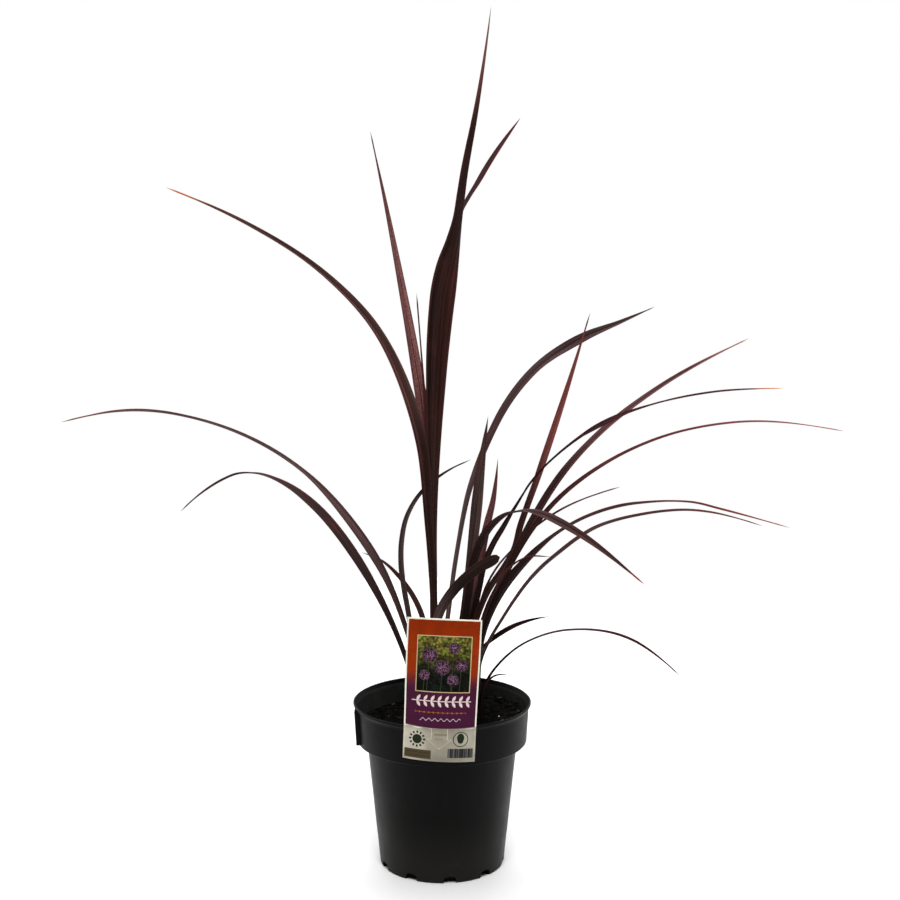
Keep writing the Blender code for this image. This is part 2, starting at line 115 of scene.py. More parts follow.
# Potting mix, with the places of its pale grains and of the three shoots
SOIL_RINGS = 74
SOIL_SIDES = 300
LUMPS = ((11 * MM, 2.4 * MM), (5.5 * MM, 1.5 * MM), (2.6 * MM, 0.8 * MM))
MOUND_RISE = 1.8 * MM
BANK_RISE = 8.5 * MM
CHIP_COUNT = 1500
SHARD_POINTS = 12
GRAIN_PLACES_MM = ((54, -14), (-28, 40), (12, -52), (-20, -58), (20, 56))
SHOOTS_MM = ((-8, -6), (10, 8), (27, -6))
SHOOT_CLEARANCE = 15 * MM

# Card: the rows and columns of points in its solid, and the finer ones here
CARD_COLUMNS = 10
CARD_ROWS = 8
FINE_COLUMNS = 60
FINE_ROWS = 120
CARD_WIDTH_MM = 67.0
CARD_HEIGHT_MM = 133.0
TONGUE_MIDDLE_MM = 33.4
TONGUE_TOP_MM = 31.0
TONGUE_SHOULDER_MM = 21.0
TONGUE_TIP_MM = 12.0
TONGUE_SHAFT_MM = 7.4
TONGUE_HEAD_MM = 11.0
TONGUE_EDGE_MM = 0.5
TONGUE_BEND_MM = 9
TONGUE_SHAFT_ROWS = 12
TONGUE_HEAD_ROWS = 13
TONGUE_LIFT = 0.5 * MM

# Print on the card, from its lower left corner: boxes as left, right, bottom and top
PRINT_MIDDLE_MM = 33.5
PRINTED_MM = (1.4, 65.6, 1.4, 131.6)
FOLD_MM = 31.2
FRAME_MM = (9.7, 59.2, 64.6, 117.4)
PICTURE_MM = (10.5, 58.4, 65.4, 116.6)
FLOWER_HEADS_MM = (
    (21.5, 99.0, 7.6), (43.5, 106.0, 6.2), (33.5, 88.0, 8.0),
    (50.5, 90.5, 6.4), (17.5, 80.5, 5.6), (43.0, 76.5, 6.2))
SPRIG_UP_MM = 56.4
DIAMONDS_UP_MM = 45.8
RIBBON_UP_MM = 39.2
SUN_MM = (13.2, 19.9)
RING_MM = (52.8, 21.3)
DROP_MM = (52.8, 20.0)
BROWN_BOX_MM = (1.5, 26.4, 1.9, 10.2)
RULES_MM = ((3.4, 25.0, 7.1, 7.9), (3.4, 25.0, 4.1, 4.9))
BARS_MM = (41.4, 64.8, 3.9, 12.6)
FADED_MM = ((28.6, 40.4, 24.4, 26.6), (29.0, 37.0, 20.6, 21.6))
WHITE_INK = (243, 241, 224)
CREAM_INK = (154, 148, 132)

FLOOR_RADIUS = 1.25


def colour(red, green, blue):
    """Screen values from 0 to 255 as light values."""
    light = []
    for value in (red, green, blue):
        share = value / 255
        light.append(share / 12.92 if share <= 0.04045 else ((share + 0.055) / 1.055) ** 2.4)
    return (*light, 1.0)


class Wire:
    """A number on its way through a material's nodes. Arithmetic on it adds Math nodes."""

    def __init__(self, socket):
        self.socket = socket

    def through(self, kind, setting, choice, *others):
        """Output of a new node that takes this number and the others."""
        node = self.socket.id_data.nodes.new("ShaderNode" + kind)
        setattr(node, setting, choice)
        for place, value in enumerate((self, *others)):
            feed(node.inputs[place], value)
        return Wire(node.outputs[0])

    def math(self, operation, *others):
        return self.through("Math", "operation", operation, *others)

    __add__ = partialmethod(math, "ADD")
    __sub__ = partialmethod(math, "SUBTRACT")
    __mul__ = partialmethod(math, "MULTIPLY")
    __truediv__ = partialmethod(math, "DIVIDE")
    __mod__ = partialmethod(math, "FLOORED_MODULO")
    __lt__ = partialmethod(math, "LESS_THAN")
    __gt__ = partialmethod(math, "GREATER_THAN")
    __abs__ = partialmethod(math, "ABSOLUTE")

    def ramp(self, start, end, low=0.0, high=1.0):
        """Eases from low at start to high at end, and stays level beyond them."""
        rest = (start, end, low, high)
        return self.through("MapRange", "interpolation_type", "SMOOTHSTEP", *rest)


def feed(socket, value):
    """Give an input a fixed value or another node's output."""
    if isinstance(value, Wire):
        socket.id_data.links.new(value.socket, socket)
    else:
        socket.default_value = value


class Finish:
    """A Principled material, with short ways to add to its nodes."""

    def __init__(self, name, specular=0.5):
        self.material = bpy.data.materials.new(name)
        self.material.use_nodes = True
        self.tree = self.material.node_tree
        self.shader = self.tree.nodes["Principled BSDF"]
        self.shader.inputs["Specular IOR Level"].default_value = specular

    def add(self, kind, output=0, settings=(), **inputs):
        """Output of a new shader node, given its settings and what goes into it."""
        node = self.tree.nodes.new("ShaderNode" + kind)
        for name, value in dict(settings).items():
            setattr(node, name, value)
        for name, value in inputs.items():
            feed(node.inputs[name.replace("_", " ")], value)
        return Wire(node.outputs[output])

    def split(self, vector):
        node = self.tree.nodes.new("ShaderNodeSeparateXYZ")
        feed(node.inputs[0], vector)
        return [Wire(output) for output in node.outputs]

    def joined(self, x, y, z=0.0):
        return self.add("CombineXYZ", X=x, Y=y, Z=z)

    def uv(self, layer):
        return self.add("UVMap", settings={"uv_map": layer})

    def stored(self, name, output="Fac"):
        return self.add("Attribute", output, {"attribute_name": name})

    def place(self):
        return self.add("TexCoord", "Object")

    def noise(self, vector, scale, detail=3.0, roughness=0.5):
        return self.add("TexNoise", Vector=vector, Scale=scale, Detail=detail, Roughness=roughness)

    def stretched(self, x, y, z, detail, roughness=0.5):
        return self.noise(self.joined(x, y, z), 1.0, detail, roughness)

    def cells(self, vector, scale, output="Distance"):
        return self.add("TexVoronoi", output, Vector=vector, Scale=scale)

    def mix(self, factor, first, second, blend="MIX"):
        """Blend of two colours, each a wire or three screen values."""
        node = self.tree.nodes.new("ShaderNodeMix")
        node.data_type = "RGBA"
        node.blend_type = blend
        feed(node.inputs[0], factor)
        for place, tint in ((6, first), (7, second)):
            feed(node.inputs[place], colour(*tint) if isinstance(tint, tuple) else tint)
        return Wire(node.outputs[2])

    def scaled(self, tint, amount):
        """The tint made lighter or darker by a number."""
        grey = self.add("CombineColor", Red=amount, Green=amount, Blue=amount)
        return self.mix(1.0, tint, grey, "MULTIPLY")

    def bump(self, height, distance, strength=1.0):
        normal = self.add("Bump", Height=height, Distance=distance, Strength=strength)
        feed(self.shader.inputs["Normal"], normal)

    def coat(self, tint, roughness):
        feed(self.shader.inputs["Base Color"], tint)
        feed(self.shader.inputs["Roughness"], roughness)


def placed(name, data):
    """New object, linked to the scene."""
    obj = bpy.data.objects.new(name, data)
    bpy.context.scene.collection.objects.link(obj)
    return obj


def show(name, mesh, finish, slot, *replaced):
    """Put a finished mesh in the scene as a piece of the object."""
    obj = placed(name, mesh)
    mesh.materials.clear()
    mesh.materials.append(finish.material)
    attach(obj, BODY)
    if replaced:
        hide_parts(*replaced)


def smooth(mesh, below):
    """Smooth the mesh over edges that turn less than an angle in degrees."""
    mesh.shade_smooth()
    mesh.set_sharp_from_angle(angle=math.radians(below))
    return mesh


def mesh_from(name, points, faces, smooth_below):
    """Smooth mesh with its faces pointing out."""
    mesh = bpy.data.meshes.new(name)
    mesh.from_pydata([tuple(point) for point in points], [], faces)
    work = bmesh.new()
    work.from_mesh(mesh)
    bmesh.ops.recalc_face_normals(work, faces=work.faces)
    work.to_mesh(mesh)
    work.free()
    return smooth(mesh, smooth_below)


def store(mesh, name, values, kind="FLOAT", field="value"):
    """Give each point of the mesh a value for the material to read."""
    mesh.attributes.new(name, kind, "POINT").data.foreach_set(field, values)


def store_places(mesh, name, places):
    """Give each point of the mesh a place on a flat map for the material to read."""
    layer = mesh.uv_layers.new(name=name)
    for loop in mesh.loops:
        layer.data[loop.index].uv = places[loop.vertex_index]


def nodes_called(start):
    return sorted(node for node in NODES if node.startswith(start))


def welded(node):
    """The node's solid with the points that its facets share made one."""
    work = bmesh.new()
    work.from_mesh(NODES[node].data)
    bmesh.ops.remove_doubles(work, verts=work.verts, dist=WELD)
    work.verts.index_update()
    return work


def ease(share):
    share = min(1.0, max(0.0, share))
    return share * share * (3 - 2 * share)


# Leaves


class Look(NamedTuple):
    """Colours of a leaf: near its foot, further out, at its margins and at its tip.

    turns is where along the leaf the first colour gives way to the second and tip_from
    is where the tip's colour starts. bands is how strong its lengthwise bands are, and
    stipple is how strong its small spots are. rim_mm is how wide the margin's colour
    is. flank gives the left half (below zero) or the right half of the blade so much of
    the margin's colour, as painted light on the half of the fold that faces the light.
    gloss is how strongly the blade mirrors its surroundings.
    """

    near: tuple
    far: tuple
    margin: tuple
    tip: tuple
    turns: tuple = (0.3, 0.8)
    tip_from: float = 0.93
    bands: float = 0.7
    rim_mm: float = 0.9
    flank: float = 0.0
    stipple: float = 0.0
    gloss: float = 0.025


BLACKISH = (28, 16, 13)
MAUVE = (58, 40, 40)
RED_EDGE = (92, 42, 38)

LOOKS = {
    "leaf_tall": Look(
        (50, 37, 33), (34, 20, 16), (76, 40, 36), (130, 80, 76), (0.22, 0.5), 0.84, 0.8,
        rim_mm=2.6, flank=0.25),
    "leaf_upper_left": Look(
        (30, 18, 14), (78, 56, 52), (108, 58, 54), (200, 110, 60), (0.42, 0.54), 0.955, 0.8, flank=-0.5),
    "leaf_rose": Look(
        (92, 60, 57), (110, 71, 69), (50, 25, 23), (88, 54, 50), (0.14, 0.3), 0.8, 1.2, stipple=0.3),
    "leaf_narrow_upright": Look((76, 48, 46), (78, 50, 48), RED_EDGE, (72, 50, 46), (0.3, 0.8), 0.9),
    "leaf_behind_tall": Look(
        (24, 12, 9), (52, 40, 43), (92, 38, 40), (74, 36, 36), (0.6, 0.75),
        bands=0.4, flank=-0.9, gloss=0.0),
    "leaf_long_left": Look(
        (44, 32, 31), (96, 72, 71), (104, 60, 56), (124, 74, 62), (0.2, 0.46), 0.88, flank=-0.2),
    "leaf_twisted_left": Look((42, 32, 32), (52, 38, 38), RED_EDGE, (76, 58, 58), (0.2, 0.6), flank=-0.15),
    "leaf_short_left": Look((62, 49, 47), (62, 40, 39), RED_EDGE, (58, 36, 34)),
    "leaf_hooked": Look((72, 58, 56), (52, 38, 36), RED_EDGE, (62, 42, 42), (0.72, 0.86)),
    "leaf_cut_short": Look(
        (78, 64, 62), (30, 21, 16), (60, 44, 34), (42, 30, 22), (0.55, 0.74), 0.97, 0.5),
    "leaf_grey_arch": Look(
        (82, 66, 66), (56, 40, 40), (84, 48, 46), (60, 38, 40), (0.32, 0.5), bands=0.6, flank=-0.12),
    "leaf_dark_upright": Look((30, 20, 18), (70, 55, 51), RED_EDGE, (64, 46, 46), (0.3, 0.65)),
    "leaf_short_red": Look(
        BLACKISH, (96, 59, 60), (108, 58, 58), (96, 54, 50), (0.35, 0.6), stipple=0.2),
    "leaf_falling_front": Look(
        (20, 13, 11), (58, 41, 40), (84, 46, 42), (150, 44, 36), (0.35, 0.65), 0.95, flank=-0.2),
    "leaf_orange_tip": Look(
        (40, 29, 26), (86, 50, 55), (96, 52, 54), (240, 150, 90), (0.5, 0.7), 0.96, gloss=0.0),
    "leaf_high_right": Look(
        (34, 22, 20), (80, 52, 53), (116, 64, 62), (160, 108, 104), (0.32, 0.78), 0.85, flank=-0.3),
    "leaf_tall_red": Look(
        (42, 27, 24), (112, 62, 58), (126, 64, 58), (92, 48, 44), (0.5, 0.76), flank=-0.3),
    "leaf_long_right": Look(
        (42, 29, 26), (92, 48, 51), (104, 50, 52), (160, 90, 92), (0.3, 0.7), 0.7, gloss=0.0),
    "leaf_thin_right": Look((52, 35, 34), (62, 41, 45), RED_EDGE, (110, 70, 62)),
    "leaf_wide_right": Look((26, 16, 13), (84, 48, 50), (104, 50, 48), (150, 62, 58), (0.35, 0.65), 0.7),
    "leaf_lower_right": Look((58, 44, 46), (84, 60, 61), RED_EDGE, (110, 60, 60), (0.2, 0.5), 0.7),
    # The near colours of these two leaves are painted shade: nearly black where they go down into the pot.
    "leaf_over_rim": Look((12, 7, 6), (60, 30, 31), (92, 42, 42), (100, 56, 50), (0.3, 0.5), stipple=0.3),
    "leaf_small_right": Look((19, 10, 9), (30, 15, 14), (62, 32, 30), (66, 34, 32)),
    "leaf_curled": Look((9, 6, 5), (58, 38, 35), (72, 36, 32), (76, 48, 40), (0.55, 0.85)),
    "leaf_sliver": Look((40, 26, 24), (56, 40, 40), RED_EDGE, (92, 62, 60), (0.5, 0.8)),
}


def leaf_finish(name, look, seed):
    """Satin leaf: lengthwise bands, veins and streaks, red margins and a dry tip, with painted shade along
    the midrib and towards the foot and painted light on one half of the blade.
    """
    finish = Finish(name, specular=look.gloss)
    across, along, _ = finish.split(finish.uv("blade"))
    wide, long, _ = finish.split(finish.uv("ruler"))
    side = abs(across - 0.5) * 2.0
    from_margin = abs(wide) * 100.0 * ((side * -1.0 + 1.0) / side.math("MAXIMUM", 0.02))
    underside = finish.stored("underside")
    bands = finish.stretched(across * 7.0, along * 1.1, seed + 20.0, 2.0)
    streaks = finish.stretched(wide * 75.0, long * 1.3, seed, 4.0, 0.6)
    fine = finish.stretched(wide * 190.0, long * 6.0, seed + 3.0, 2.0)
    clouds = finish.stretched(wide * 4.0, long * 2.2, seed + 7.0, 3.0)
    body = finish.mix(along.ramp(*look.turns), look.near, look.far)
    grown = along.ramp(look.turns[0] - 0.1, look.turns[1] + 0.1, 0.15, 1.0)
    body = finish.mix(clouds.ramp(0.5, 0.75, 0.0, 0.3) * grown, body, look.margin)
    body = finish.mix(underside * 0.2, body, MAUVE)
    # Painted light: the half of the folded blade that faces the light takes some of the margin's colour.
    if look.flank:
        middle = (0.54, 0.46) if look.flank < 0 else (0.46, 0.54)
        half = across.ramp(*middle) * abs(look.flank)
        body = finish.mix(half * grown, body, look.margin)
    dark = 1.0 - 0.45 * look.bands
    light = 1.0 + 0.55 * look.bands
    body = finish.scaled(body, bands.ramp(0.3, 0.7, dark, light))
    body = finish.scaled(body, streaks.ramp(0.25, 0.75, 0.66, 1.34))
    body = finish.scaled(body, fine.ramp(0.3, 0.7, 0.88, 1.1))
    if look.stipple:
        spots = finish.stretched(wide * 95.0, long * 42.0, seed, 2.0)
        body = finish.scaled(body, spots.ramp(0.35, 0.65, 1.0 - look.stipple, 1.0 + look.stipple))
    # Painted shade: darker along the midrib's groove.
    body = finish.scaled(body, side.ramp(0.0, 0.12, 0.7, 1.0))
    rim = from_margin.ramp(0.2 * look.rim_mm, look.rim_mm, 0.75, 0.0)
    body = finish.mix(rim * grown, body, look.margin)
    # Painted shade: darker towards the foot, where the leaves crowd together down in the pot.
    body = finish.scaled(body, along.ramp(0.0, 0.16, 0.55, 1.0))
    body = finish.mix((along + streaks * 0.04).ramp(look.tip_from, 1.0), body, look.tip)
    finish.coat(body, streaks.ramp(0.2, 0.8, 0.38, 0.54))
    veins = (wide * (2 * math.pi * 125.0)).math("SINE")
    finish.bump(veins * 0.3 + fine * 0.5 + streaks, 0.1 * MM, 0.35)
    return finish


def ring_lines(ring, along):
    """Left margin, midrib and right margin of a ring of six points, seen from above the blade."""
    rest = list(ring)
    middles = []
    while rest:
        point = rest.pop(0)
        partner = min(rest, key=lambda other: (other - point).length)
        rest.remove(partner)
        middles.append((point + partner) / 2)
    left, right = max(combinations(middles, 2), key=lambda pair: (pair[0] - pair[1]).length)
    midrib = next(point for point in middles if point not in (left, right))
    upper = (left + right) / 2 - midrib
    if (right - left).cross(upper).dot(along) < 0:
        left, right = right, left
    return left, midrib, right


def traced_leaf(node):
    """Lines of the leaf's solid from foot to tip, as rows of left margin, midrib and right margin."""
    work = welded(node)
    foot = min(v.co.z for v in work.verts)
    ring = [v for v in work.verts if v.co.z < foot + WELD]
    seen = set(ring)
    rings = []
    while len(ring) == 6:
        rings.append([v.co.copy() for v in ring])
        following = {edge.other_vert(v) for v in ring for edge in v.link_edges} - seen
        seen |= following
        ring = sorted(following, key=lambda v: v.index)
    tip = ring[0].co.copy()
    work.free()
    centres = [sum(ring, Vector()) / 6 for ring in rings] + [tip]
    ahead = [after - before for before, after in zip(centres[:1] + centres, centres[1:])]
    rows = [ring_lines(ring, along) for ring, along in zip(rings, ahead)]
    rows.append((tip, tip, tip))
    return np.array([[list(point) for point in row] for row in rows])


def smoothed(rows, knots, places):
    """Cubic curve through the rows, read at the places."""
    steps = np.diff(knots)
    shape = (-1, *[1] * (rows.ndim - 1))
    slopes = np.diff(rows, axis=0) / steps.reshape(shape)
    tangents = np.empty_like(rows)
    tangents[0] = slopes[0]
    tangents[-1] = slopes[-1]
    weight = (steps[1:] / (steps[1:] + steps[:-1])).reshape(shape)
    tangents[1:-1] = slopes[:-1] * weight + slopes[1:] * (1 - weight)
    result = []
    for place in places:
        i = min(len(steps) - 1, max(0, int(np.searchsorted(knots, place, side="right")) - 1))
        u = (place - knots[i]) / steps[i]
        result.append(
            (2 * u ** 3 - 3 * u ** 2 + 1) * rows[i]
            + (u ** 3 - 2 * u ** 2 + u) * steps[i] * tangents[i]
            + (3 * u ** 2 - 2 * u ** 3) * rows[i + 1]
            + (u ** 3 - u ** 2) * steps[i] * tangents[i + 1])
    return np.array(result)


def lengths_along(points):
    """Distance from the first point to each point."""
    steps = np.linalg.norm(np.diff(points, axis=0), axis=1)
    return np.concatenate([[0.0], np.cumsum(steps)])


def blade_offsets(half, distance, length, seed):
    """Heights above and below the folded blade at each place across it, for one station."""
    upper = []
    lower = []
    slim = min(1.0, TIP_THICKNESS_SHARE + half / (2 * MM))
    loose = ease((distance - WAVE_STARTS) / WAVE_GROWS) * ease((length - distance) / WAVE_FADES)
    for sign, share in BLADE_PLACES:
        from_rib = share * half
        fuller = (BLADE_HALF_THICKNESS - MARGIN_HALF_THICKNESS) * (1 - share ** 4)
        thickness = MARGIN_HALF_THICKNESS + fuller
        keel = MIDRIB_KEEL * math.exp(-(from_rib / MIDRIB_KEEL_SPREAD) ** 2)
        groove = MIDRIB_GROOVE * math.exp(-(from_rib / MIDRIB_GROOVE_SPREAD) ** 2)
        bow = BOW_SHARE * half * share * (1 - share)
        pleat = PLEAT_SHARE * half * math.sin(share * 7.5 + sign * seed) * share * (1 - share) * 4
        wave = 0.0
        if sign:
            turn = distance / WAVE_LENGTH + seed * 2.3 + sign
            wave = WAVE_SHARE * half * loose * share ** 2 * math.sin(turn)
        middle = bow + pleat + wave
        upper.append(middle + (thickness - groove) * slim)
        lower.append(middle - (thickness + keel) * slim)
    return upper, lower


def blade_faces(count, wide):
    """Faces of a closed blade: rings of points from foot to tip, and one point at the tip."""
    around = 2 * wide - 2
    faces = []
    for i in range(count - 1):
        for k in range(around):
            after = (k + 1) % around
            low = i * around
            faces.append((low + k, low + around + k, low + around + after, low + after))
    last = (count - 1) * around
    tip = count * around
    faces += [(last + k, tip, last + (k + 1) % around) for k in range(around)]
    faces.append((0, 1, around - 1))
    for k in range(1, wide - 2):
        faces.append((k, k + 1, around - k - 1, around - k))
    faces.append((wide - 2, wide - 1, wide))
    return faces


def make_leaf(node, slot, seed):
    """Fine closed blade that follows the lines of the leaf's solid."""
    rows = traced_leaf(node)
    knots = lengths_along(rows[:, 1])
    length = knots[-1]
    count = max(24, math.ceil(length / LEAF_STEP))
    places = [length * i / count for i in range(count)]
    lines = smoothed(rows, knots, places)
    ahead = smoothed(rows, knots, [place + 0.5 * MM for place in places])
    points = []
    labels = []
    wide = len(BLADE_PLACES)
    rounding = math.sqrt(1 + FOLD_ROUNDING ** 2) - FOLD_ROUNDING
    for i, (left, midrib, right) in enumerate(lines):
        along = Vector(ahead[i][1] - midrib).normalized()
        reach = Vector((right - left) / 2)
        rise = Vector((left + right) / 2 - midrib)
        fullest = min(TIP_HALF_WIDTH, TIP_TAPER * (length - places[i]))
        if reach.length < fullest:
            reach *= fullest / reach.length
        half = reach.length
        normal = reach.cross(along).normalized() * -1
        if normal.dot(rise) < 0:
            normal.negate()
        upper, lower = blade_offsets(half, places[i], length, seed)
        middle = []
        for sign, share in BLADE_PLACES:
            folded = (math.sqrt(share ** 2 + FOLD_ROUNDING ** 2) - FOLD_ROUNDING) / rounding
            middle.append(Vector(midrib) + rise * folded + reach * (sign * share))
        order = [(j, upper[j], 0.0) for j in range(wide)]
        order += [(j, lower[j], 1.0) for j in reversed(range(1, wide - 1))]
        for j, offset, under in order:
            points.append(middle[j] + normal * offset)
            sign, share = BLADE_PLACES[j]
            labels.append((sign * share, places[i] / length, sign * share * half, places[i], under))
    points.append(Vector(rows[-1][1]))
    labels.append((0.0, 1.0, 0.0, length, 0.0))
    mesh = mesh_from(node + "_blade", points, blade_faces(count, wide), 50)
    store_places(mesh, "blade", [((across + 1) / 2, along) for across, along, _, _, _ in labels])
    store_places(mesh, "ruler", [(wide * 10, long * 10) for _, _, wide, long, _ in labels])
    store(mesh, "underside", [row[4] for row in labels])
    show(node + "_blade", mesh, leaf_finish(node, LOOKS[node], seed), slot, node)


def make_leaves():
    slots = {part["node"]: part.get("material_slot") for part in frame["record"]["subparts"]}
    for seed, node in enumerate(nodes_called("leaf_")):
        make_leaf(node, slots[node], float(seed))


# Pot


def meridian(node):
    """Outline of a turned solid, as (radius, height) from the axis below to the axis above."""
    work = welded(node)
    out, aside = outward(CLEAR_MERIDIAN)
    near = 0.02 * MM
    on_plane = {v for v in work.verts if abs(v.co.dot(aside)) < near and v.co.dot(out) > -near}
    here = min(on_plane, key=lambda v: (round(v.co.z, 5), v.co.dot(out)))
    outline = []
    while here is not None:
        outline.append(Vector((max(0.0, here.co.dot(out)), here.co.z)))
        on_plane.discard(here)
        linked = [edge.other_vert(here) for edge in here.link_edges]
        onward = [v for v in linked if v in on_plane]
        here = min(onward, key=lambda v: (v.co - here.co).length) if onward else None
    work.free()
    return outline


def with_fillets(outline, steps=4):
    """The outline with each corner turned into a short curve."""
    rounded = [outline[0]]
    for before, corner, after in zip(outline, outline[1:], outline[2:]):
        back = before - corner
        onward = after - corner
        reach = min(FILLET, 0.42 * back.length, 0.42 * onward.length)
        start = corner + back.normalized() * reach
        end = corner + onward.normalized() * reach
        for k in range(steps + 1):
            u = k / steps
            rounded.append(start * (1 - u) ** 2 + corner * 2 * u * (1 - u) + end * u ** 2)
    rounded.append(outline[-1])
    return rounded


def circle(radius, height, sides):
    """Points round a level circle about the Z axis."""
    turns = [math.tau * k / sides for k in range(sides)]
    return [Vector((radius * math.cos(turn), radius * math.sin(turn), height)) for turn in turns]


def turned(outline, sides):
    """Points and faces of an outline turned about the Z axis."""
    points = [Vector((0, 0, outline[0].y))]
    rings = outline[1:-1]
    for radius, height in rings:
        points += circle(radius, height, sides)
    points.append(Vector((0, 0, outline[-1].y)))
    last = len(points) - 1
    faces = []
    for k in range(sides):
        after = (k + 1) % sides
        faces.append((0, 1 + after, 1 + k))
        for i in range(len(rings) - 1):
            low = 1 + i * sides
            high = low + sides
            faces.append((low + k, low + after, high + after, high + k))
        top = 1 + (len(rings) - 1) * sides
        faces.append((last, top + k, top + after))
    return points, faces


def tool_from(name, points, faces):
    return placed(name, mesh_from(name, points, faces, 30))


def outward(clock):
    """Unit vectors away from the Z axis and sideways, at an angle in degrees."""
    angle = math.radians(clock)
    return Vector((math.cos(angle), math.sin(angle), 0)), Vector((-math.sin(angle), math.cos(angle), 0))


def add_block(points, faces, near, far):
    """Add a closed block between two outlines with as many points each."""
    first = len(points)
    count = len(near)
    points += near + far
    faces.append(tuple(first + k for k in range(count)))
    faces.append(tuple(first + count + k for k in reversed(range(count))))
    for k in range(count):
        after = (k + 1) % count
        faces.append((first + after, first + k, first + count + k, first + count + after))


def outer_radius(outline, height):
    """Radius of the outermost wall of a turned outline at a height."""
    crossing = [
        (a, b) for a, b in zip(outline, outline[1:])
        if a.y != b.y and min(a.y, b.y) <= height <= max(a.y, b.y)]
    return max(a.x + (b.x - a.x) * (height - a.y) / (b.y - a.y) for a, b in crossing)


def panel_tool(outline):
    """Flat panel on the collar: flat outside, curved to the wall inside."""
    out, across = outward(PANEL_CLOCK)
    steps = 16
    ends = []
    low, high = COLLAR_HEIGHTS
    taper = (outer_radius(outline, high) - outer_radius(outline, low)) / (high - low)
    for height in (PANEL_BOTTOM, PANEL_TOP):
        wall = outer_radius(outline, low) + taper * (height - low)
        inner = wall - 1.0 * MM
        face = wall + PANEL_PROUD
        rise = Vector((0, 0, height))
        end = [out * face + across * PANEL_HALF_WIDTH + rise, out * face - across * PANEL_HALF_WIDTH + rise]
        for k in range(steps + 1):
            side = PANEL_HALF_WIDTH * (2 * k / steps - 1)
            end.append(out * math.sqrt(inner ** 2 - side ** 2) + across * side + rise)
        ends.append(end)
    points = []
    faces = []
    add_block(points, faces, *ends)
    return tool_from("panel_tool", points, faces)


def notch_tool(base_radius):
    """One arched block for each drain notch, all in one tool."""
    half = NOTCH_WIDTH / 2
    spring = 0.5 * NOTCH_HEIGHT
    outline = [(half, -1 * MM), (half, spring)]
    for k in range(1, 10):
        angle = math.pi * k / 10
        outline.append((half * math.cos(angle), spring + (NOTCH_HEIGHT - spring) * math.sin(angle)))
    outline += [(-half, spring), (-half, -1 * MM)]
    points = []
    faces = []
    for i in range(NOTCH_COUNT):
        out, across = outward(NOTCH_FIRST_CLOCK + 360 * i / NOTCH_COUNT)
        ends = []
        for reach in (base_radius - NOTCH_DEPTH, base_radius + 4 * MM):
            ends.append([out * reach + across * side + Vector((0, 0, height)) for side, height in outline])
        add_block(points, faces, *ends)
    return tool_from("notch_tool", points, faces)


def combined(obj, *cuts):
    """The object's mesh after Boolean cuts and unions, whose tools are then removed."""
    for tool, operation in cuts:
        modifier = obj.modifiers.new(tool.name, "BOOLEAN")
        modifier.operation = operation
        modifier.object = tool
    bpy.context.view_layer.update()
    seen = obj.evaluated_get(bpy.context.evaluated_depsgraph_get())
    mesh = bpy.data.meshes.new_from_object(seen)
    for done in (obj, *[tool for tool, _ in cuts]):
        bpy.data.objects.remove(done, do_unlink=True)
    return mesh


def pot_finish():
    """Satin black moulded plastic with a fine grain, flow marks and a little dust, and painted light on the
    inner wall above the soil.
    """
    finish = Finish("pot_plastic", specular=0.07)
    place = finish.place()
    x, y, z = finish.split(place)
    grain = finish.noise(place, 1400.0, 2.0)
    flow = finish.stretched(x * 60.0, y * 60.0, z * 9.0, 4.0)
    dust = finish.noise(place, 90.0, 6.0, 0.65)
    body = finish.mix(flow.ramp(0.3, 0.7), (4, 4, 4), (7, 7, 6))
    body = finish.mix(dust.ramp(0.55, 0.85) * z.ramp(0.0, 0.09, 0.22, 0.02), body, (70, 66, 58))
    body = finish.mix(z.ramp(0.0, 0.07, 0.25, 0.0), body, (60, 58, 54))
    middle = z * INNER_TAPER + (INNER_WALL_RADIUS - COLLAR_BOTTOM * INNER_TAPER)
    inside = ((x * x + y * y).math("SQRT") < middle) * (z > COLLAR_BOTTOM + 4 * MM)
    # Painted light: the inner wall above the soil is lighter than the outside, mottled by the dust noise.
    lit_inner_wall = finish.mix(dust.ramp(0.3, 0.7), (34, 36, 34), (43, 45, 42))
    body = finish.mix(inside, body, lit_inner_wall)
    finish.coat(body, (dust * 0.18 + flow * 0.12).ramp(0.05, 0.25, 0.36, 0.52))
    finish.bump(grain * 0.5 + flow, 0.08 * MM, 0.5)
    return finish


def make_pot():
    outline = meridian("nursery_pot")
    base_radius = max(point.x for point in outline if point.y < 2 * MM)
    pot = tool_from("pot_blank", *turned(with_fillets(outline), POT_SIDES))
    mesh = combined(pot, (panel_tool(outline), "UNION"), (notch_tool(base_radius), "DIFFERENCE"))
    show("moulded_pot", smooth(mesh, 28), pot_finish(), "pot_plastic", "nursery_pot")


# Potting mix


def soil_height(x, y):
    """Lumps of three sizes, mounded round the shoots and banked to the right and the back."""
    height = 0.0
    for size, rise in LUMPS:
        nearest = noise.voronoi(Vector((x / size, y / size, size / MM)))[0][0]
        height += rise * (0.5 - nearest)
    height += 1.6 * MM * noise.noise(Vector((x / 0.022, y / 0.022, 3.0)))
    for shoot_x, shoot_y in SHOOTS_MM:
        away = math.hypot(x - shoot_x * MM, y - shoot_y * MM)
        height += MOUND_RISE * (1 - ease((away - 8 * MM) / (14 * MM)))
    bank = ease((x + 0.6 * y + 20 * MM) / (70 * MM))
    return height + BANK_RISE * bank


